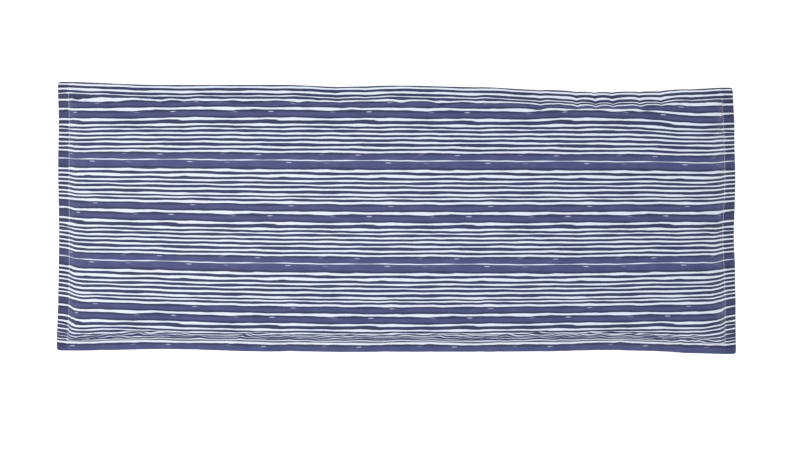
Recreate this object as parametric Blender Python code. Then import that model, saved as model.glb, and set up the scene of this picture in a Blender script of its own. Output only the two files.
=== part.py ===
"""A bench cushion lying on its back, as one filled cloth solid.

Two panels of printed cotton are sewn together inside a flat border that runs all round, and a fibre
filling swells them between the lines of stitching. The top is crowned, the underside lies flat, and
the sides are a little drawn in and uneven. Metres, +Z up, X along the bench, and the origin is on the
surface under the middle of the cushion. "Far" is the long side towards +Y and "near" the one
towards -Y.
"""

import math

import bmesh
import bpy

# The cover laid out flat, border included
LENGTH = 1.205
WIDTH = 0.483
BORDER = 0.021
BORDER_THICKNESS = 0.0022

# Heights above the surface that the cushion lies on
SEAM_HEIGHT = 0.019
RIM_HEIGHT = 0.009
SHOULDER_RISE = 0.0175
CROWN_RISE = 0.0185

# How far in from the stitching the shoulder of the filling and the turn of the underside reach
SHOULDER_REACH = 0.027
UNDERSIDE_REACH = 0.026

# Unevenness: the border's slow waves, and the soft lumps of the filling
BORDER_WAVE = 0.0016
BORDER_WAVE_PITCH = 0.27
LUMP_HEIGHT = 0.0012
LUMP_PITCH_X = 0.34
LUMP_PITCH_Y = 0.21

# The mesh: where its lines run between the rim and the far end of the shoulder, and its largest step
BORDER_LINES = (0.0, 0.5, 1.0)
SHOULDER_LINES = (0.07, 0.22, 0.5, 1.0)
STEP_X = 0.0133
STEP_Y = 0.060

# How far each long side is drawn in from the full width, along the cushion, in metres
LONG_SIDE_COLUMNS = ("x", "far_in", "near_in")
LONG_SIDES = (
    (-0.600, 0.0000, 0.0062),
    (-0.420, 0.0055, 0.0082),
    (-0.200, 0.0055, 0.0046),
    (-0.100, 0.0088, 0.0032),
    (0.000, 0.0067, 0.0044),
    (0.150, 0.0094, 0.0034),
    (0.260, 0.0142, 0.0051),
    (0.360, 0.0179, 0.0067),
    (0.450, 0.0169, 0.0051),
    (0.520, 0.0131, 0.0019),
    (0.600, 0.0103, 0.0000),
)

# How far each short end is drawn in from the full length, across the cushion, in metres
SHORT_END_COLUMNS = ("y", "left_in", "right_in")
SHORT_ENDS = (
    (-0.240, 0.0000, 0.0000),
    (-0.150, 0.0029, 0.0000),
    (-0.100, 0.0030, 0.0015),
    (-0.030, 0.0032, 0.0045),
    (0.080, 0.0029, 0.0006),
    (0.160, 0.0034, 0.0025),
    (0.240, 0.0010, 0.0062),
)

# Puckers where the stitching gathers the border: a soft trough across it and up the shoulder
PUCKER_COLUMNS = ("x", "side", "depth")
PUCKERS = (
    (-0.106, "far", 0.0014),
    (-0.055, "far", 0.0012),
    (0.327, "far", 0.0024),
    (0.359, "far", 0.0020),
    (0.387, "far", 0.0022),
    (0.435, "far", 0.0016),
    (0.469, "far", 0.0014),
    (-0.300, "near", 0.0011),
    (0.180, "near", 0.0013),
    (0.395, "near", 0.0015),
    (0.500, "near", 0.0017),
)
PUCKER_HALF_WIDTH = 0.009
PUCKER_REACH = 0.030

CLOTH_COLOUR = (0.31, 0.33, 0.50, 1.0)
CLOTH_ROUGHNESS = 0.85


def smooth(t):
    """0 to 1 with level ends."""
    t = min(1.0, max(0.0, t))
    return t * t * (3.0 - 2.0 * t)


def table_value(table, columns, name, at):
    """The named column of a table at this place, eased from row to row."""
    column = columns.index(name)
    if at <= table[0][0]:
        return table[0][column]
    for low, high in zip(table, table[1:]):
        if at <= high[0]:
            share = smooth((at - low[0]) / (high[0] - low[0]))
            return low[column] + share * (high[column] - low[column])
    return table[-1][column]


def line_places(span, step):
    """Where the mesh's lines cross one direction of the flat cover, from 0 at one rim to span at the other."""
    edge = [BORDER * share for share in BORDER_LINES]
    edge += [BORDER + SHOULDER_REACH * share for share in SHOULDER_LINES]
    inner = span - 2.0 * edge[-1]
    steps = math.ceil(inner / step)
    middle = [edge[-1] + inner * k / steps for k in range(1, steps)]
    return edge + middle + [span - place for place in reversed(edge)]


def plan_position(across_x, across_y):
    """Where a point of the flat cover, given from its left and near rims, lies seen from above."""
    x, y = across_x - LENGTH / 2.0, across_y - WIDTH / 2.0
    left = -LENGTH / 2.0 + table_value(SHORT_ENDS, SHORT_END_COLUMNS, "left_in", y)
    right = LENGTH / 2.0 - table_value(SHORT_ENDS, SHORT_END_COLUMNS, "right_in", y)
    near = -WIDTH / 2.0 + table_value(LONG_SIDES, LONG_SIDE_COLUMNS, "near_in", x)
    far = WIDTH / 2.0 - table_value(LONG_SIDES, LONG_SIDE_COLUMNS, "far_in", x)
    return (
        left + (right - left) * across_x / LENGTH,
        near + (far - near) * across_y / WIDTH,
    )


def inside(across, span):
    """How far this line lies inside the stitching. It is negative on the border."""
    return min(across, span - across) - BORDER


def shoulder(distance, reach):
    """The steep round rise next to the stitching, from 0 to 1 over its reach."""
    t = min(1.0, max(0.0, distance / reach))
    return math.sqrt(1.0 - (1.0 - t) ** 2)


def crown(distance, half_span):
    """The slow rise of the filling from the stitching to the middle."""
    t = min(1.0, max(0.0, distance / half_span))
    return 1.0 - (1.0 - t) ** 2.2


def border_height(across_x, across_y):
    """The middle of the border's thickness: it droops from the stitching to the rim, in slow waves."""
    out = max(-inside(across_x, LENGTH), -inside(across_y, WIDTH), 0.0) / BORDER
    along = across_x + across_y
    wave = BORDER_WAVE * math.sin(2.0 * math.pi * along / BORDER_WAVE_PITCH)
    return SEAM_HEIGHT + (RIM_HEIGHT - SEAM_HEIGHT) * out + wave * out


def pucker_depth(x, across_y):
    """How deep the puckers press the cloth here."""
    depth = 0.0
    for place, side, most in PUCKERS:
        to_rim = WIDTH - across_y if side == "far" else across_y
        away = abs(x - place) / PUCKER_HALF_WIDTH
        fade = smooth(1.0 - abs(to_rim - BORDER) / PUCKER_REACH)
        depth += most * fade * smooth(1.0 - away / 2.0)
    return depth


def top_height(across_x, across_y, x, y):
    """The upper face of the cushion."""
    in_x, in_y = inside(across_x, LENGTH), inside(across_y, WIDTH)
    full = shoulder(in_x, SHOULDER_REACH) * shoulder(in_y, SHOULDER_REACH)
    swell = crown(in_x, LENGTH / 2.0 - BORDER) * crown(in_y, WIDTH / 2.0 - BORDER)
    lump = math.sin(2.0 * math.pi * x / LUMP_PITCH_X) * math.cos(2.0 * math.pi * y / LUMP_PITCH_Y)
    rise = SHOULDER_RISE * full + CROWN_RISE * swell + LUMP_HEIGHT * lump * full
    pressed = min(pucker_depth(x, across_y), BORDER_THICKNESS + rise)
    return border_height(across_x, across_y) + BORDER_THICKNESS / 2.0 + rise - pressed


def underside_height(across_x, across_y, x):
    """The lower face: the border's own underside, then a round turn down to the flat rest."""
    in_x, in_y = inside(across_x, LENGTH), inside(across_y, WIDTH)
    full = shoulder(in_x, UNDERSIDE_REACH) * shoulder(in_y, UNDERSIDE_REACH)
    height = border_height(across_x, across_y) - BORDER_THICKNESS / 2.0
    return (height - pucker_depth(x, across_y) * (1.0 - full)) * (1.0 - full)


def centre_on_origin(mesh):
    """Moves the mesh so that the middle of its outline stands over the origin."""
    xs = [vertex.co.x for vertex in mesh.verts]
    ys = [vertex.co.y for vertex in mesh.verts]
    shift = (-(min(xs) + max(xs)) / 2.0, -(min(ys) + max(ys)) / 2.0, 0.0)
    bmesh.ops.translate(mesh, vec=shift, verts=mesh.verts)


def cushion_mesh():
    """The closed skin of the cushion: an upper and a lower sheet, joined round the rim."""
    places_x, places_y = line_places(LENGTH, STEP_X), line_places(WIDTH, STEP_Y)
    built = bmesh.new()
    top, under = [], []
    for across_x in places_x:
        top_line, under_line = [], []
        for across_y in places_y:
            x, y = plan_position(across_x, across_y)
            top_line.append(built.verts.new((x, y, top_height(across_x, across_y, x, y))))
            under_line.append(built.verts.new((x, y, underside_height(across_x, across_y, x))))
        top.append(top_line)
        under.append(under_line)
    columns, rows = len(places_x), len(places_y)
    for i in range(columns - 1):
        for j in range(rows - 1):
            built.faces.new((top[i][j], top[i + 1][j], top[i + 1][j + 1], top[i][j + 1]))
            built.faces.new((under[i][j], under[i][j + 1], under[i + 1][j + 1], under[i + 1][j]))
    rim = [(i, 0) for i in range(columns - 1)]
    rim += [(columns - 1, j) for j in range(rows - 1)]
    rim += [(i, rows - 1) for i in range(columns - 1, 0, -1)]
    rim += [(0, j) for j in range(rows - 1, 0, -1)]
    for (i, j), (k, m) in zip(rim, rim[1:] + rim[:1]):
        built.faces.new((under[i][j], under[k][m], top[k][m], top[i][j]))
    bmesh.ops.triangulate(built, faces=built.faces)
    centre_on_origin(built)
    mesh = bpy.data.meshes.new("cushion")
    built.to_mesh(mesh)
    built.free()
    return mesh


def cloth_material():
    """Indigo-and-white printed cotton, as its one plain main colour."""
    material = bpy.data.materials.new("printed_cotton")
    material.use_nodes = True
    shader = material.node_tree.nodes["Principled BSDF"]
    shader.inputs["Base Color"].default_value = CLOTH_COLOUR
    shader.inputs["Roughness"].default_value = CLOTH_ROUGHNESS
    shader.inputs["Metallic"].default_value = 0.0
    return material


def build():
    for old in list(bpy.data.objects):
        bpy.data.objects.remove(old)
    mesh = cushion_mesh()
    mesh.materials.append(cloth_material())
    mesh.shade_smooth()
    mesh.set_sharp_from_angle(angle=math.radians(50.0))
    cushion = bpy.data.objects.new("cushion", mesh)
    bpy.context.scene.collection.objects.link(cushion)


build()
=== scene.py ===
# %% [markdown]
# # A bench cushion with a flat sewn border
# The cushion lies on its back on a plain floor. Its cover is two panels of printed cotton, sewn
# together and turned, and a line of white top-stitching two centimetres in from the rim shuts off a
# flat border all round. Only the part inside the stitching is filled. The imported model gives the
# overall size and the place, and the cells below dress it: cover, print, thread, floor and light.

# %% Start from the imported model
import math
import bpy
import numpy as np
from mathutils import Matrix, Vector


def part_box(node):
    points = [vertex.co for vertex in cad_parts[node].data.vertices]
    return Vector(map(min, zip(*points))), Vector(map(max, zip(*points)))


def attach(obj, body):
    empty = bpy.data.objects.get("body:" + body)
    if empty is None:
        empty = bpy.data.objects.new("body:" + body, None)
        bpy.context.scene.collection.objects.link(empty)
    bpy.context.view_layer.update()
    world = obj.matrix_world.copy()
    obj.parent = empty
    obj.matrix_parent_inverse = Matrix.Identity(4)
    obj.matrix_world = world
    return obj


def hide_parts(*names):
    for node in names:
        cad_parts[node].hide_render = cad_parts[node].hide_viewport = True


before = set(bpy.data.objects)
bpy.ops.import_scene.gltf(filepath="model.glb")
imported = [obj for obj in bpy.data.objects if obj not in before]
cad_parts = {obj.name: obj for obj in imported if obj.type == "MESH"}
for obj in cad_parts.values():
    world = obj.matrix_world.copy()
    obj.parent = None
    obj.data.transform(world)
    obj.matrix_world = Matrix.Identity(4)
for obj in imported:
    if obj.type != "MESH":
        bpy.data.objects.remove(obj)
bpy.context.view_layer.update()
low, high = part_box("cushion")
print("The solid is", [round(side * 1000) for side in high - low], "mm")

# %% [markdown]
# ## The cloth, laid out flat
# A cover starts as flat cloth, so each panel starts as a grid primitive. Its lines are then moved
# closer together near the rim, where the cloth bends most, and left wide in the calm middle. The
# same two lists of lines serve both panels, which is what lets them be joined later.

# %% Sizes of the cover
BORDER = 0.021
BORDER_THICKNESS = 0.0022
SEAM_HEIGHT = 0.019
RIM_HEIGHT = 0.009
SHOULDER_RISE = 0.0175
CROWN_RISE = 0.0185
SHOULDER_REACH = 0.027
UNDERSIDE_REACH = 0.026
BORDER_WAVE, BORDER_WAVE_PITCH = 0.0016, 0.27
LENGTH, WIDTH = high.x - low.x, high.y - low.y

# %% Where the lines of the grid run
FINE_STEP = 0.0025
EDGE_ZONE = 0.055
STEP_ALONG = 0.0030
STEP_ACROSS = 0.0080


def line_places(span, step):
    """Places from 0 to span, fine in the zone next to each rim."""
    edge = np.linspace(0.0, EDGE_ZONE, round(EDGE_ZONE / FINE_STEP) + 1)
    count = math.ceil((span - 2 * EDGE_ZONE) / step)
    middle = np.linspace(EDGE_ZONE, span - EDGE_ZONE, count + 1)[1:-1]
    return np.concatenate([edge, middle, (span - edge)[::-1]])


lines_along = line_places(LENGTH, STEP_ALONG)
lines_across = line_places(WIDTH, STEP_ACROSS)
print(len(lines_along), "lines along the cushion and", len(lines_across), "across it")

# %% [markdown]
# ## The outline, drawn in by the filling
# When a flat bag is filled, its sides pull in between the corners. The amounts here were read off
# the photograph, in metres: a short table for each side, eased from row to row. Moving whole lines
# of the grid by a table keeps the sheets even, where dragging single points would pinch them.

# %% How far each side is drawn in
FAR_SIDE = ((-0.600, 0.0), (-0.420, 0.0055), (-0.200, 0.0055), (-0.100, 0.0088), (0.000, 0.0067),
            (0.150, 0.0094), (0.260, 0.0142), (0.360, 0.0179), (0.450, 0.0169), (0.520, 0.0131),
            (0.600, 0.0103))
NEAR_SIDE = ((-0.600, 0.0062), (-0.420, 0.0082), (-0.200, 0.0046), (-0.100, 0.0032),
             (0.000, 0.0044), (0.150, 0.0034), (0.260, 0.0051), (0.360, 0.0067), (0.450, 0.0051),
             (0.520, 0.0019), (0.600, 0.0))
LEFT_END = ((-0.240, 0.0), (-0.150, 0.0029), (-0.100, 0.0030), (-0.030, 0.0032), (0.080, 0.0029),
            (0.160, 0.0034), (0.240, 0.0010))
RIGHT_END = ((-0.240, 0.0), (-0.150, 0.0), (-0.100, 0.0015), (-0.030, 0.0045), (0.080, 0.0006),
             (0.160, 0.0025), (0.240, 0.0062))
BLUNT_CORNER = 0.0013  # how far a corner of the rim is turned in
END_GAIN, END_REACH = 0.0035, 0.045  # how much wider an end's border lies, and how soon that fades


def smooth(t):
    """0 to 1 with level ends."""
    t = np.clip(t, 0.0, 1.0)
    return t * t * (3 - 2 * t)


def eased(table, at):
    """The table's value at each place, eased between its rows."""
    places, values = (np.array(column) for column in zip(*table))
    row = np.clip(np.searchsorted(places, at) - 1, 0, len(places) - 2)
    share = smooth((at - places[row]) / (places[row + 1] - places[row]))
    return values[row] + share * (values[row + 1] - values[row])


def plan_position(across_x, across_y):
    """Where a point of the flat cover lies, seen from above."""
    x, y = across_x - LENGTH / 2, across_y - WIDTH / 2
    left, right = -LENGTH / 2 + eased(LEFT_END, y), LENGTH / 2 - eased(RIGHT_END, y)
    near, far = -WIDTH / 2 + eased(NEAR_SIDE, x), WIDTH / 2 - eased(FAR_SIDE, x)
    from_corner = LENGTH / 2 - np.abs(x) + WIDTH / 2 - np.abs(y)
    blunt = BLUNT_CORNER * np.exp(-from_corner / FINE_STEP)
    from_end = LENGTH / 2 - np.abs(x)
    wider = END_GAIN * smooth(from_end / BORDER) * (1 - smooth((from_end - BORDER) / END_REACH))
    plan_x = left + (right - left) * across_x / LENGTH - (blunt + wider) * np.sign(x)
    return plan_x, near + (far - near) * across_y / WIDTH - blunt * np.sign(y)


# %% [markdown]
# ## Two panels become one bag
# The back panel is a copy of the front one with its faces turned over. Joining the two and bridging
# their open rims gives one closed bag, with the same number of points in each panel.

# %% Make the two panels and join them round the rim
PANELS_APART = 0.01
bpy.ops.object.select_all(action="DESELECT")
bpy.ops.mesh.primitive_grid_add(
    x_subdivisions=len(lines_along) - 1, y_subdivisions=len(lines_across) - 1, size=1.0,
    location=(0, 0, PANELS_APART))
front = bpy.context.object
bpy.ops.object.duplicate()
back = bpy.context.object
back.location.z = 0.0
bpy.ops.object.mode_set(mode="EDIT")
bpy.ops.mesh.select_all(action="SELECT")
bpy.ops.mesh.flip_normals()
bpy.ops.object.mode_set(mode="OBJECT")
front.select_set(True)
bpy.context.view_layer.objects.active = front
bpy.ops.object.join()
cover = bpy.context.object
cover.name = cover.data.name = "padded_cover"
bpy.ops.object.transform_apply(location=True)
bpy.ops.object.mode_set(mode="EDIT")
bpy.ops.mesh.select_all(action="DESELECT")
bpy.ops.mesh.select_mode(type="EDGE")
bpy.ops.mesh.select_non_manifold()
bpy.ops.mesh.bridge_edge_loops()
bpy.ops.object.mode_set(mode="OBJECT")
points_a_panel = len(lines_along) * len(lines_across)
assert len(cover.data.vertices) == 2 * points_a_panel
print("The bag has", len(cover.data.vertices), "points and", len(cover.data.polygons), "faces")

# %% Read and write the points as two sheets of rows and columns
start = np.empty(len(cover.data.vertices) * 3, np.float32)
cover.data.vertices.foreach_get("co", start)
start = start.reshape(-1, 3)
column = np.rint((start[:, 0] + 0.5) * (len(lines_along) - 1)).astype(int)
row = np.rint((start[:, 1] + 0.5) * (len(lines_across) - 1)).astype(int)
panel = (start[:, 2] < PANELS_APART / 2).astype(int)
across_x, across_y = np.meshgrid(lines_along, lines_across, indexing="ij")


def set_points(sheets):
    """Writes sheets[panel, column, row] to the bag's points."""
    cover.data.vertices.foreach_set("co", sheets[panel, column, row].astype(np.float32).ravel())
    cover.data.update()


def get_points():
    """The bag's points as sheets[panel, column, row]."""
    flat = np.empty(len(cover.data.vertices) * 3, np.float32)
    cover.data.vertices.foreach_get("co", flat)
    sheets = np.empty((2, len(lines_along), len(lines_across), 3))
    sheets[panel, column, row] = flat.reshape(-1, 3)
    return sheets


# %% [markdown]
# ## The filled shape
# The front panel climbs steeply from the stitching and rounds over into a broad, low crown. The
# back panel turns down and lies flat on the floor. Both faces of the border run out from the
# stitching and droop a little towards the rim. This could be sculpted, but a formula gives each
# point a height from its distance to the stitching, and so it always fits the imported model.

# %% Heights of the two panels
CROWN_POWER = 2.2


def quarter_round(distance, reach):
    """A steep round rise from 0 to 1 over its reach."""
    t = np.clip(distance / reach, 0.0, 1.0)
    return np.sqrt(1 - (1 - t) ** 2)


def slow_rise(distance, half_span):
    """The crown's slow rise from the stitching to the middle."""
    return 1 - (1 - np.clip(distance / half_span, 0.0, 1.0)) ** CROWN_POWER


def start_shape():
    """Both panels, filled."""
    x, y = plan_position(across_x, across_y)
    in_x = np.minimum(across_x, LENGTH - across_x) - BORDER
    in_y = np.minimum(across_y, WIDTH - across_y) - BORDER
    out = np.maximum(np.maximum(-in_x, -in_y), 0.0) / BORDER
    wave = BORDER_WAVE * np.sin(2 * np.pi * (across_x + across_y) / BORDER_WAVE_PITCH)
    middle = SEAM_HEIGHT + (RIM_HEIGHT - SEAM_HEIGHT + wave) * out
    full = quarter_round(in_x, SHOULDER_REACH) * quarter_round(in_y, SHOULDER_REACH)
    swell = slow_rise(in_x, LENGTH / 2 - BORDER) * slow_rise(in_y, WIDTH / 2 - BORDER)
    top = middle + BORDER_THICKNESS / 2 + SHOULDER_RISE * full + CROWN_RISE * swell
    turn = quarter_round(in_x, UNDERSIDE_REACH) * quarter_round(in_y, UNDERSIDE_REACH)
    under = (middle - BORDER_THICKNESS / 2) * (1 - turn)
    return np.stack([np.stack([x, y, top], -1), np.stack([x, y, under], -1)])


sheets = start_shape()
set_points(sheets)
print("Filled to", round(float(sheets[0, :, :, 2].max()) * 1000, 1), "mm")

# %% [markdown]
# ## Let the filling push
# Shaped by formula alone, a cushion looks moulded. A short cloth simulation, with a little pressure
# inside and the border pinned, lets the cover bulge over its stitching and settle into soft, uneven
# slack. The cloth is a touch too big for its place, as sewn cloth is, and no point may move more
# than a few millimetres, so that the cushion keeps its size.

# %% Simulate the cover
PRESSURE = 4.0
SLACK = -0.012
LAST_FRAME = 20
MOST_MOVE = 0.006


def simulate():
    """Inflates the bag, and returns its points where the cloth came to rest."""
    held = cover.vertex_groups.new(name="held")
    inside = np.minimum(np.minimum(across_x, LENGTH - across_x),
                        np.minimum(across_y, WIDTH - across_y))[column, row]
    held.add(np.flatnonzero(inside < BORDER + 1e-4).tolist(), 1.0, "REPLACE")
    floor_held = (panel == 1) & (inside > BORDER + UNDERSIDE_REACH)
    held.add(np.flatnonzero(floor_held).tolist(), 1.0, "REPLACE")
    cloth = cover.modifiers.new("filling", "CLOTH")
    cloth.settings.quality = 4
    cloth.settings.mass = 0.15
    cloth.settings.tension_stiffness = cloth.settings.compression_stiffness = 12
    cloth.settings.shear_stiffness = 4
    cloth.settings.bending_stiffness = 0.4
    cloth.settings.vertex_group_mass = "held"
    cloth.settings.use_pressure = True
    cloth.settings.uniform_pressure_force = PRESSURE
    cloth.settings.shrink_min = SLACK
    cloth.settings.effector_weights.gravity = 0
    cloth.collision_settings.use_collision = False
    cloth.point_cache.frame_start = 1
    cloth.point_cache.frame_end = LAST_FRAME
    for at in range(1, LAST_FRAME + 1):
        bpy.context.scene.frame_set(at)
    bpy.ops.object.select_all(action="DESELECT")
    cover.select_set(True)
    bpy.context.view_layer.objects.active = cover
    bpy.ops.object.modifier_apply(modifier=cloth.name)
    bpy.context.scene.frame_set(1)
    cover.vertex_groups.clear()
    return get_points()


moved = simulate() - sheets
size = np.linalg.norm(moved, axis=-1, keepdims=True)
print("The filling moved the cloth by up to", round(float(size.max()) * 1000, 1), "mm")
sheets = sheets + moved * (MOST_MOVE * np.tanh(size / MOST_MOVE) / np.maximum(size, 1e-9))
sheets[..., 2] = np.maximum(sheets[..., 2], 0.0)
set_points(sheets)

# %% [markdown]
# ## Puckers and creases
# Stitching gathers the cloth a little. Where it does, the border's stripes are drawn towards the
# body in small scallops, and short creases run up the shoulder. The places of the larger puckers
# follow the photograph. The fine creases are scattered along the foot of each side, with a seeded
# generator, so that every run makes the same ones.

# %% Puckers in the border
FAR_PUCKERS = ((-0.106, 1.2), (-0.055, 1.0), (0.140, 0.8), (0.254, 2.4), (0.318, 3.8), (0.351, 4.6),
               (0.382, 4.4), (0.430, 3.8), (0.467, 3.0), (0.520, 1.2))
NEAR_PUCKERS = ((-0.300, 0.8), (-0.190, 0.7), (0.060, 0.7), (0.180, 0.9), (0.290, 0.8),
                (0.395, 1.0), (0.500, 1.2))
PUCKER_WIDTH, PUCKER_TIP = 0.0055, 0.0012
PUCKER_FADE = 0.008
AT_THE_RIM = 0.45
PRESSED_DOWN = 0.35
across_from_far = WIDTH - across_y
lying = sheets.copy()
plan_x = sheets[0, :, :, 0]


def gather(puckers, from_rim):
    """How far, in metres, the stitching draws the cloth in: most at the stitching."""
    drawn = np.zeros_like(plan_x)
    for place, most in puckers:
        away = np.sqrt((plan_x - place) ** 2 + PUCKER_TIP ** 2)
        drawn += most / 1000 * np.exp(-away / PUCKER_WIDTH)
    outside = smooth(from_rim / BORDER)
    inside = 1 - smooth((from_rim - BORDER) / PUCKER_FADE)
    return drawn * (AT_THE_RIM + (1 - AT_THE_RIM) * outside) * inside


far_gather = gather(FAR_PUCKERS, across_from_far)
near_gather = gather(NEAR_PUCKERS, across_y)
sheets[..., 1] += near_gather - far_gather
sheets[0, ..., 2] -= PRESSED_DOWN * (near_gather + far_gather)

# %% Fine creases at the foot of each side
FAR_CREASES, NEAR_CREASES = 90, 150
CREASE_FOLD = 0.7
chance = np.random.default_rng(7)
within = smooth((np.minimum(across_x, LENGTH - across_x) - BORDER) / 0.02)
for side_from, inward, count in ((across_from_far, -1, FAR_CREASES), (across_y, 1, NEAR_CREASES)):
    creases = np.zeros_like(plan_x)
    for _ in range(count):
        run = plan_x - chance.uniform(-0.56, 0.58)
        off = side_from - BORDER - chance.uniform(0.001, 0.013) - chance.uniform(-0.35, 0.35) * run
        half_length, half_width = chance.uniform(0.008, 0.022), chance.uniform(0.0018, 0.0030)
        height = chance.uniform(0.8, 2.4) / 1000
        creases += height * np.exp(-(off / half_width) ** 2 - (run / half_length) ** 2)
    creases *= within * smooth((side_from - BORDER) / 0.002)
    sheets[0, ..., 1] += CREASE_FOLD * inward * creases
    sheets[0, ..., 2] -= CREASE_FOLD * creases
    print("Deepest crease", round(float(creases.max()) * 1000, 1), "mm")
set_points(sheets)

# %% [markdown]
# ## Where the print lies on the cloth
# The print is drawn in metres of flat cloth, so each point needs to know where on the cloth it
# lies. On the real cushion the stripes run along it, but the filling drags them a little. Two
# tables say, along the cushion, where the first broad stripe's white line lies and how much print
# a metre holds. A third moves the lines on the far side alone, and three soft bumps move them where
# they bow on the left, and sag and lift beside the right end. Beside the stitching some cloth is
# gathered into the crease, so there the print is eased to what the border shows, over the slope of
# the side. An unwrap would lay the cloth out flat too, but it knows nothing of that gathering.

# %% How the cloth lies, in metres
FLAT_LENGTH = 1.205
FIRST_LINE = 0.0453
FAR_SEAM_PRINT, NEAR_SEAM_PRINT = 0.0215, 0.4613
NEAR_SEAM_GAIN = 0.0018
FAR_RIM_PRINT, NEAR_RIM_PRINT = 0.0022, 0.4778
FAR_SLOPE, NEAR_SLOPE = 0.011, 0.013
LINE_AT = ((-0.602, 0.1924), (-0.588, 0.1924), (-0.562, 0.1920), (-0.517, 0.1928), (-0.342, 0.1943),
           (-0.166, 0.1931), (0.006, 0.1927), (0.178, 0.1915), (0.281, 0.1906), (0.350, 0.1897),
           (0.419, 0.1890), (0.453, 0.1880), (0.488, 0.1862), (0.522, 0.1849), (0.566, 0.1853),
           (0.589, 0.1861), (0.602, 0.1861))
PRINT_HELD = ((-0.602, 1.006), (-0.588, 1.006), (-0.562, 0.998), (-0.517, 0.997), (-0.342, 0.9745),
              (-0.166, 0.973), (0.006, 0.970), (0.178, 0.9765), (0.281, 0.982), (0.350, 0.985),
              (0.419, 0.9915), (0.453, 0.997), (0.522, 1.0075), (0.566, 1.010), (0.589, 1.011),
              (0.602, 1.011))
DRAWN_TO_FAR = ((-0.602, 0.9), (-0.588, 0.9), (-0.517, -1.0), (-0.342, 0.2), (-0.166, 0.7),
                (0.178, -0.4), (0.247, 0.7), (0.281, 2.5), (0.350, 3.6), (0.419, 3.3), (0.453, 1.5),
                (0.488, -1.0), (0.522, -2.2), (0.566, -1.0), (0.589, -1.5), (0.602, -1.5))
DRAWN_FROM, DRAWN_OVER = 0.130, 0.050
BOWED, BOWED_AT, BOWED_OVER = 0.0021, -0.080, 0.055
SAGGING, SAGGING_AT, SAGGING_OVER = -0.0026, -0.045, 0.055
LIFTED, LIFTED_AT, LIFTED_OVER = 0.0028, -0.188, 0.022
LEFT_FROM, LEFT_RISE, LEFT_TO, LEFT_FALL = -0.52, 0.12, 0.05, 0.25
RIGHT_FROM, RIGHT_RISE = 0.528, 0.03
GAIN_FROM, GAIN_RISE = 0.25, 0.15
ROUNDED_STEP, ROUNDED_OVER = 0.004, 11


def flowing(table, at):
    """The table's value at each place, with its corners rounded off so that no stripe kinks."""
    places, values = (np.array(column) for column in zip(*table))
    fine = np.arange(-0.65, 0.65, ROUNDED_STEP)
    window = np.hanning(ROUNDED_OVER)
    rounded = np.convolve(np.interp(fine, places, values), window / window.sum(), mode="same")
    return np.interp(at, fine, rounded)


def bump(at, middle, reach):
    """1 in the middle, falling off smoothly over the reach."""
    return np.exp(-((at - middle) / reach) ** 2)


def run_of_cloth(sheets, axis):
    """How far each point lies along the cloth from the first line, in metres."""
    steps = np.linalg.norm(np.diff(sheets, axis=axis), axis=-1)
    pad = [(0, 0), (0, 0), (0, 0)]
    pad[axis] = (1, 0)
    return np.pad(np.cumsum(steps, axis=axis), pad)


def up_the_slope(print_at, run, seam, top, wanted):
    """The print on one side: even along the cloth from the seam, then joining the body's."""
    foot = int(np.argmin(np.abs(lines_across - seam)))
    head = int(np.argmin(np.abs(lines_across - top)))
    share = (run - run[:, :, foot:foot + 1]) / (run[:, :, head:head + 1] - run[:, :, foot:foot + 1])
    even = wanted + (print_at[:, :, head:head + 1] - wanted) * share
    return even + (print_at - even) * smooth(share * 2 - 1)


cloth_u = run_of_cloth(lying, 1)
cloth_u = cloth_u / cloth_u[:, -1:, :] * FLAT_LENGTH - FLAT_LENGTH / 2
run = run_of_cloth(lying, 2)
lying_x, lying_y = lying[..., 0], lying[..., 1]
drawn = flowing(DRAWN_TO_FAR, lying_x) / 1000 * smooth((lying_y - DRAWN_FROM) / DRAWN_OVER)
on_the_left = smooth((lying_x - LEFT_FROM) / LEFT_RISE)
on_the_left *= 1 - smooth((lying_x - LEFT_TO) / LEFT_FALL)
drawn += BOWED * on_the_left * bump(lying_y, BOWED_AT, BOWED_OVER)
on_the_right = smooth((lying_x - RIGHT_FROM) / RIGHT_RISE)
drawn += SAGGING * on_the_right * bump(lying_y, SAGGING_AT, SAGGING_OVER)
drawn += LIFTED * on_the_right * bump(lying_y, LIFTED_AT, LIFTED_OVER)
print_at = FIRST_LINE + (flowing(LINE_AT, lying_x) + drawn - lying_y) * flowing(PRINT_HELD, lying_x)
to_the_right = smooth((across_x[:, :1] - LENGTH / 2 - GAIN_FROM) / GAIN_RISE)
near_seam_print = NEAR_SEAM_PRINT + NEAR_SEAM_GAIN * to_the_right
cloth_v = up_the_slope(print_at, run, WIDTH - BORDER, WIDTH - BORDER - FAR_SLOPE, FAR_SEAM_PRINT)
cloth_v = up_the_slope(cloth_v, run, BORDER, BORDER + NEAR_SLOPE, near_seam_print)
on_far_border = (across_from_far <= BORDER + 1e-5)[None]
on_near_border = (across_y <= BORDER + 1e-5)[None]
far_share, near_share = across_from_far / BORDER, across_y / BORDER
far_v = FAR_SEAM_PRINT * far_share + FAR_RIM_PRINT * (1 - smooth(far_share * 2 - 1))
near_v = NEAR_RIM_PRINT + (near_seam_print - NEAR_RIM_PRINT) * near_share
cloth_v = np.where(on_far_border, far_v, cloth_v)
cloth_v = np.where(on_near_border, near_v, cloth_v)
uv_layer = cover.data.uv_layers.new(name="cloth")
corner_point = np.empty(len(cover.data.loops), int)
cover.data.loops.foreach_get("vertex_index", corner_point)
uv = np.stack([cloth_u[panel, column, row], cloth_v[panel, column, row]], -1)[corner_point]
uv_layer.data.foreach_set("uv", uv.astype(np.float32).ravel())
print("Print runs from", round(float(cloth_v.min()), 4), "to", round(float(cloth_v.max()), 4), "m")
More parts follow.
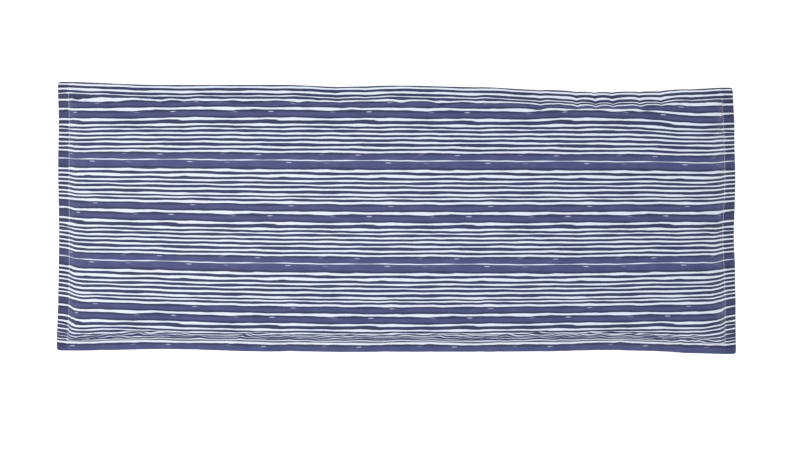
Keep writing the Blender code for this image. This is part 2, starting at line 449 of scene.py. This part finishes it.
# %% [markdown]
# ## The print
# The cloth is white cotton printed in indigo. Its stripes look drawn by hand: broad blue ones,
# split by a white line, and between them runs of fine ones that wander and swell. A printer would
# cut one repeat, 174 mm across and 169 mm along, and print it again and again. So the print here is
# a short chart, in millimetres, of where the white and the blue lines lie across one repeat. It is
# read as a landscape: white in the valleys, blue on the hills, and the ink's edge at one height.
# Noise that repeats with the print is added to the height, so each line swells and thins along its
# way, and to the place, so it wanders. No picture is used.

# %% Small helpers for shader maths
class Value:
    """A socket that can be used in Python expressions: each operator adds its Math node."""

    def __init__(self, socket):
        self.socket = socket

    def math(self, operation, *others):
        made = self.socket.id_data.nodes.new("ShaderNodeMath")
        made.operation = operation
        for place, value in enumerate((self,) + others):
            give(made.inputs[place], value)
        return Value(made.outputs[0])

    def __add__(self, other):
        return self.math("ADD", other)

    def __sub__(self, other):
        return self.math("SUBTRACT", other)

    def __rsub__(self, other):
        return Value(self.socket).math("MULTIPLY", -1.0).math("ADD", other)

    def __mul__(self, other):
        return self.math("MULTIPLY", other)

    def __truediv__(self, other):
        return self.math("DIVIDE", other)

    __radd__ = __add__
    __rmul__ = __mul__


def give(socket, value):
    """Sets a socket to a number or colour, or links it to a Value."""
    if isinstance(value, Value):
        socket.id_data.links.new(value.socket, socket)
    else:
        socket.default_value = value


def add_node(material, kind, settings=(), **values):
    """Adds one node: its settings first, then its sockets. Returns its outputs by name."""
    made = material.node_tree.nodes.new("ShaderNode" + kind)
    for name, setting in dict(settings).items():
        setattr(made, name, setting)
    for name, value in values.items():
        give(made.inputs[name.replace("_", " ")], value)
    return {output.name: Value(output) for output in made.outputs if output.enabled}


def new_material(name, **values):
    """A material whose Principled shader has these constant values on its own sockets."""
    material = bpy.data.materials.new(name)
    material.use_nodes = True
    shader = material.node_tree.nodes["Principled BSDF"]
    for socket, value in values.items():
        give(shader.inputs[socket.replace("_", " ")], value)
    return material, shader


def step_up(material, value, start, end):
    """0 below start and 1 above end, eased between."""
    return add_node(material, "MapRange", {"interpolation_type": "SMOOTHSTEP"},
                    Value=value, From_Min=start, From_Max=end)["Result"]


# %% The stripes' chart, in millimetres across the cloth
REPEAT_ACROSS = 173.6
REPEAT_ALONG = 168.5
FINE_INK = 0.62
EDGE_INK, EDGE_BLUR = 0.25, 0.05
FIRST_HALF = {
    "start": 0.0, "start_width": 2.0, "end": 86.5, "end_width": 0.85, "white_width": 2.0,
    "white": (17.8, 27.2, 34.1, 41.9, 48.9, 56.3, 64.3, 71.3),
    "blue": (22.5, 31.3, 37.8, 45.4, 52.5, 60.2, 68.3),
}
SECOND_HALF = {
    "start": 86.5, "start_width": 0.85, "end": 173.6, "end_width": 2.0, "white_width": 2.1,
    "white": (103.8, 112.2, 119.9, 127.3, 134.6, 143.3, 149.2, 155.6),
    "blue": (107.5, 116.6, 124.0, 130.5, 139.1, 146.5, 152.2),
}


def chart_stops(half):
    """(place in mm, ink) for one half of the repeat, from one band's white line to the next."""
    whites, widest = half["white"], half["white_width"] / EDGE_INK
    stops = [(half["start"], 0.0), (half["start"] + half["start_width"] / EDGE_INK, 1.0),
             (whites[0] - widest, 1.0)]
    for white, blue in zip(whites, half["blue"]):
        stops += [(white, 0.0), (blue, FINE_INK)]
    return stops + [(whites[-1], 0.0), (whites[-1] + widest, 1.0),
                    (half["end"] - half["end_width"] / EDGE_INK, 1.0), (half["end"], 0.0)]


def ink_ramp(material, place, half):
    """The ink's height over one half of the repeat, read from a colour ramp."""
    length = half["end"] - half["start"]
    share = (place - half["start"]) / length
    made = material.node_tree.nodes.new("ShaderNodeValToRGB")
    ramp = made.color_ramp
    stops = [((at - half["start"]) / length, ink) for at, ink in chart_stops(half)]
    ramp.elements[0].position, ramp.elements[0].color = 0.0, (stops[0][1],) * 3 + (1,)
    ramp.elements[1].position, ramp.elements[1].color = 1.0, (stops[-1][1],) * 3 + (1,)
    for at, ink in stops[1:-1]:
        ramp.elements.new(at).color = (ink, ink, ink, 1)
    give(made.inputs["Fac"], share)
    return Value(made.outputs["Color"])


# %% The printed cotton
printed_cotton, shader = new_material("printed_cotton", Sheen_Weight=0.05, Sheen_Roughness=0.5,
                                      Specular_IOR_Level=0.35)
at = add_node(printed_cotton, "UVMap", {"uv_map": "cloth"})["UV"]
split = add_node(printed_cotton, "SeparateXYZ", Vector=at)
along, across = split["X"] * 1000, split["Y"] * 1000 - FIRST_LINE * 1000
turn_along = along * (2 * math.pi / REPEAT_ALONG)
turn_across = across * (2 * math.pi / REPEAT_ACROSS)
ring = (turn_along.math("COSINE"), turn_along.math("SINE"),
        turn_across.math("COSINE"), turn_across.math("SINE"))


def repeating_noise(material, along_size, across_size, detail=0.0, offset=0.0):
    """Noise from -1 to 1 that repeats with the print. The sizes are its features', in mm."""
    radius_along = REPEAT_ALONG / (2 * math.pi * along_size)
    radius_across = REPEAT_ACROSS / (2 * math.pi * across_size)
    place = add_node(material, "CombineXYZ", X=ring[0] * radius_along + offset,
                     Y=ring[1] * radius_along, Z=ring[2] * radius_across)["Vector"]
    noise = add_node(material, "TexNoise", {"noise_dimensions": "4D"}, Vector=place,
                     W=ring[3] * radius_across, Scale=1.0, Detail=detail, Roughness=0.5)
    return (noise[[name for name in noise if name.startswith("Fac")][0]] - 0.5) * 2


WANDER, SWELLING, ROUGH_EDGE = 1.5, 0.18, 0.07
wander = repeating_noise(printed_cotton, 40, 10) * WANDER
swelling = repeating_noise(printed_cotton, 38, 3.2, offset=5.0) * SWELLING
rough_edge = repeating_noise(printed_cotton, 11, 2.0, detail=1.0, offset=11.0) * ROUGH_EDGE
place = (across + wander) / REPEAT_ACROSS
place = place.math("FRACT") * REPEAT_ACROSS
later_half = place.math("GREATER_THAN", FIRST_HALF["end"])
ink_first = ink_ramp(printed_cotton, place, FIRST_HALF)
ink_second = ink_ramp(printed_cotton, place, SECOND_HALF)
ink_height = ink_first + (ink_second - ink_first) * later_half + swelling + rough_edge


def along_from(centre):
    """How far along the cloth from the nearest repeat of this place, in mm."""
    share = ((along - centre) / REPEAT_ALONG + 0.5).math("FRACT")
    return (share - 0.5) * REPEAT_ALONG


# %% The thin line that fades, painted shade on the end borders and in the creases beside the stitching, and the small missed marks in the broad stripes
FADE_CENTRE, FADE_FROM, FADE_TO, FADE = 116.4, 8.0, 36.0, 0.24
MARKS = ((123.1, 5.4, 0.60), (153.4, 90.2, 0.62), (102.3, 76.8, 0.52), (159.2, 161.9, 0.48),
         (61.2, 5.4, 0.2), (48.8, 90.2, 0.2), (40.5, 76.8, 0.18))
MARK_LENGTH, MARK_HEIGHT = 6.0, 0.85
END_BORDER = 581.5
# Painted shade darkens the creases beside the stitching, around these places across the print.
NEAR_CREASE, FAR_CREASE = 400.0, -21.4
# How much painted shade, as extra ink, the end borders and the near and far creases get.
END_SHADE_INK, NEAR_SHADE_INK, FAR_SHADE_INK = 0.05, 0.12, 0.09
faded = 1 - step_up(printed_cotton, along_from(FADE_CENTRE).math("ABSOLUTE"), FADE_FROM, FADE_TO)
from_thin_line = (place - FIRST_HALF["end"]).math("ABSOLUTE")
at_thin_line = 1 - step_up(printed_cotton, from_thin_line, 3.0, 5.0)
ink_height = ink_height + faded * at_thin_line * FADE
# Painted shade on the end borders: more ink here and a darker blue below, standing in for the sheen
# they miss.
end_painted_shade = step_up(printed_cotton, along.math("ABSOLUTE"), END_BORDER - 1.5, END_BORDER + 1.5)
# Painted shade in the creases beside the stitching: more ink where shade falls.
painted_near_crease_shade = 1 - step_up(printed_cotton, (across - NEAR_CREASE).math("ABSOLUTE"), 5.0, 13.0)
painted_far_crease_shade = 1 - step_up(printed_cotton, (across - FAR_CREASE).math("ABSOLUTE"), 2.0, 6.0)
ink_height = ink_height + end_painted_shade * END_SHADE_INK + painted_near_crease_shade * NEAR_SHADE_INK + painted_far_crease_shade * FAR_SHADE_INK
ink = step_up(printed_cotton, ink_height, EDGE_INK - EDGE_BLUR, EDGE_INK + EDGE_BLUR)
missed = None
for mark_along, mark_across, strength in MARKS:
    off_along = along_from(mark_along) / MARK_LENGTH
    off_across = (place - mark_across) / MARK_HEIGHT
    lens_shape = 1 - off_along * off_along - off_across * off_across
    mark = step_up(printed_cotton, lens_shape, 0.0, 0.7) * strength
    missed = mark if missed is None else missed + mark
ink = ink * (1 - missed)

# %% Colours of the cotton
WHITE_COTTON = (0.76, 0.815, 0.945, 1)
INDIGO = (0.047, 0.057, 0.172, 1)
PALE_INDIGO = (0.075, 0.086, 0.222, 1)
DARK_INDIGO = (0.025, 0.032, 0.092, 1)
# Painted shade: the darker blue laid on the end borders.
END_SHADE_INDIGO = (0.010, 0.014, 0.060, 1)


def mix_colours(material, share, first, second):
    """A Mix node on colours."""
    made = material.node_tree.nodes.new("ShaderNodeMix")
    made.data_type = "RGBA"
    for socket, value in ((made.inputs["Factor"], share), (made.inputs[6], first),
                          (made.inputs[7], second)):
        give(socket, value)
    return Value(made.outputs[2])


streaks = repeating_noise(printed_cotton, 26, 0.8, detail=2.0, offset=23.0)
cloud = repeating_noise(printed_cotton, 20, 14, offset=31.0)
blue = mix_colours(printed_cotton, step_up(printed_cotton, streaks + cloud * 0.5, -0.6, 0.7),
                   INDIGO, PALE_INDIGO)
broad = step_up(printed_cotton, ink_height + at_thin_line * 0.4, FINE_INK - 0.04, FINE_INK + 0.14)
blue = mix_colours(printed_cotton, broad, DARK_INDIGO, blue)
# Painted shade: the end borders' blue is darkened.
blue = mix_colours(printed_cotton, end_painted_shade * 0.4, blue, END_SHADE_INDIGO)
give(shader.inputs["Base Color"], mix_colours(printed_cotton, ink, WHITE_COTTON, blue))
give(shader.inputs["Roughness"], 0.58 + ink * 0.04)

# %% The plain weave, which shows close up
THREAD_PITCH = 0.55
warp = (along * (2 * math.pi / THREAD_PITCH)).math("SINE")
weft = (across * (2 * math.pi / THREAD_PITCH)).math("SINE")
weave = add_node(printed_cotton, "Bump", Strength=0.35, Distance=0.00006, Height=warp * weft)
give(shader.inputs["Normal"], weave["Normal"])
print("The cotton has", len(printed_cotton.node_tree.nodes), "nodes")

# %% Finish the cover
cover.data.materials.clear()
cover.data.materials.append(printed_cotton)
cover.data.shade_smooth()
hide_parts("cushion")
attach(cover, "root")

# %% [markdown]
# ## The top-stitching
# The border is shut off by a run of white stitches that goes through both layers. Each stitch is a
# small plump bead of thread. One is modelled, and its copies are laid along the stitching on both
# faces, a little apart, each in line with the cloth under it.

# %% One stitch
STITCH_PITCH, STITCH_LENGTH, THREAD_WIDTH = 0.0034, 0.0027, 0.0007
INSIDE_SEAM, THREAD_LIFT = 0.0012, 0.00015
bpy.ops.object.select_all(action="DESELECT")
bpy.ops.mesh.primitive_uv_sphere_add(
    segments=6, ring_count=5, radius=0.5, rotation=(0, math.pi / 2, 0))
bpy.ops.object.transform_apply(rotation=True)
stitch = bpy.context.object
stitch_points = np.array([point.co for point in stitch.data.vertices])
stitch_points *= (STITCH_LENGTH, THREAD_WIDTH, THREAD_WIDTH)
stitch_faces = [list(face.vertices) for face in stitch.data.polygons]
bpy.data.objects.remove(stitch)

# %% Lay the stitches along the border's inner edge
def on_cover(face, at_x, at_y):
    """The cover's surface at these places of the flat cloth."""
    place_x = np.interp(at_x, lines_along, np.arange(len(lines_along)))
    place_y = np.interp(at_y, lines_across, np.arange(len(lines_across)))
    i = np.minimum(place_x.astype(int), len(lines_along) - 2)
    j = np.minimum(place_y.astype(int), len(lines_across) - 2)
    a, b = (place_x - i)[:, None], (place_y - j)[:, None]
    low_row = sheets[face, i, j] * (1 - a) + sheets[face, i + 1, j] * a
    high_row = sheets[face, i, j + 1] * (1 - a) + sheets[face, i + 1, j + 1] * a
    return low_row * (1 - b) + high_row * b


def stitch_run(face, start, end):
    """Middles and directions of the stitches between two corners of the flat cloth."""
    start, end = np.array(start), np.array(end)
    count = int(np.linalg.norm(end - start) / STITCH_PITCH)
    share = (np.arange(count) + 0.5) / count
    flat = start + (end - start) * share[:, None]
    ahead = (end - start) / np.linalg.norm(end - start) * STITCH_LENGTH / 2
    middle = on_cover(face, *flat.T)
    direction = on_cover(face, *(flat + ahead).T) - on_cover(face, *(flat - ahead).T)
    return middle, direction / np.linalg.norm(direction, axis=1)[:, None]


inset = BORDER - INSIDE_SEAM
corners = ((inset, inset), (LENGTH - inset, inset), (LENGTH - inset, WIDTH - inset),
           (inset, WIDTH - inset))
thread_points, thread_faces = [], []
for face, lift in ((0, THREAD_LIFT), (1, -THREAD_LIFT)):
    for start, end in zip(corners, corners[1:] + corners[:1]):
        for middle, direction in zip(*stitch_run(face, start, end)):
            aside = np.cross((0, 0, 1), direction)
            aside /= np.linalg.norm(aside)
            turn = np.stack([direction, aside, np.cross(direction, aside)])
            first = len(thread_points) * len(stitch_points)
            thread_points.append(stitch_points @ turn + middle + (0, 0, lift))
            thread_faces += [[first + point for point in points] for points in stitch_faces]
thread_mesh = bpy.data.meshes.new("top_stitching")
thread_mesh.from_pydata(np.concatenate(thread_points).tolist(), [], thread_faces)
thread_mesh.shade_smooth()
top_stitching = bpy.data.objects.new("top_stitching", thread_mesh)
bpy.context.scene.collection.objects.link(top_stitching)
white_thread, thread_shader = new_material("white_thread", Roughness=0.6, Sheen_Weight=0.2)
twist_at = add_node(white_thread, "TexCoord")["Object"]
twist = add_node(white_thread, "TexNoise", Vector=twist_at, Scale=900.0, Detail=1.0)
twist = twist[[name for name in twist if name.startswith("Fac")][0]]
give(thread_shader.inputs["Base Color"],
     mix_colours(white_thread, twist, (0.70, 0.71, 0.76, 1), (0.88, 0.88, 0.92, 1)))
thread_mesh.materials.append(white_thread)
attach(top_stitching, "root")
print(len(thread_points), "stitches")

# %% [markdown]
# ## Floor, light and camera
# The photograph is a plain cut-out on white, taken from above. A pale floor under the cushion glows
# a little, so that it stays white right up to the cloth. One big soft lamp hangs above the left
# end, which is the brighter one in the picture, and an even white world fills the rest. The camera
# looks straight down, and its lens is shifted, because the near side shows a little more of its
# slope than the far side does: the eye stood over the far part of the cushion.

# %% The floor
UNDER_CUSHION = 0.0004
bpy.ops.object.select_all(action="DESELECT")
bpy.ops.mesh.primitive_plane_add(size=12, location=(0, 0, -UNDER_CUSHION))
floor = bpy.context.object
floor.name = "floor"
floor_paint, floor_shader = new_material(
    "floor_paint", Base_Color=(0.93, 0.93, 0.94, 1), Roughness=0.9)
give(floor_shader.inputs["Emission Color"], (1, 1, 1, 1))
give(floor_shader.inputs["Emission Strength"], 0.5)
floor.data.materials.append(floor_paint)

# %% The lights
soft_box = bpy.data.lights.new("soft_box", "AREA")
soft_box.shape, soft_box.size, soft_box.size_y, soft_box.energy = "RECTANGLE", 2.4, 2.0, 26
lamp = bpy.data.objects.new("soft_box", soft_box)
lamp.location = (-0.75, 0.0, 1.95)
lamp.rotation_euler = (0, math.radians(-12), 0)
bpy.context.scene.collection.objects.link(lamp)
world = bpy.data.worlds.new("studio")
world.use_nodes = True
world.node_tree.nodes["Background"].inputs["Color"].default_value = (1, 1, 1, 1)
world.node_tree.nodes["Background"].inputs["Strength"].default_value = 0.66
bpy.context.scene.world = world
bpy.context.scene.view_settings.view_transform = "Standard"
print("Lamp at", tuple(round(part, 2) for part in lamp.location), "m")

# %% The camera
PICTURE_WIDE, PICTURE_HIGH = 800, 469
PIXEL = 0.001769  # metres on the border for each pixel of the photograph
EYE_HEIGHT, BORDER_HEIGHT = 1.40, 0.014
EYE_ROW = 120.0
MIDDLE_COLUMN, MIDDLE_ROW = 396.4, 218.2
lens = bpy.data.cameras.new("camera")
camera = bpy.data.objects.new("camera", lens)
bpy.context.scene.collection.objects.link(camera)
bpy.context.scene.camera = camera
lens.sensor_width = 36
lens.lens = lens.sensor_width * (EYE_HEIGHT - BORDER_HEIGHT) / (PICTURE_WIDE * PIXEL)
lens.shift_y = (EYE_ROW - PICTURE_HIGH / 2) / PICTURE_WIDE
camera.location = (
    (PICTURE_WIDE / 2 - MIDDLE_COLUMN) * PIXEL, (MIDDLE_ROW - EYE_ROW) * PIXEL, EYE_HEIGHT)
print("Lens", round(lens.lens, 1), "mm, shift", round(lens.shift_y, 3))
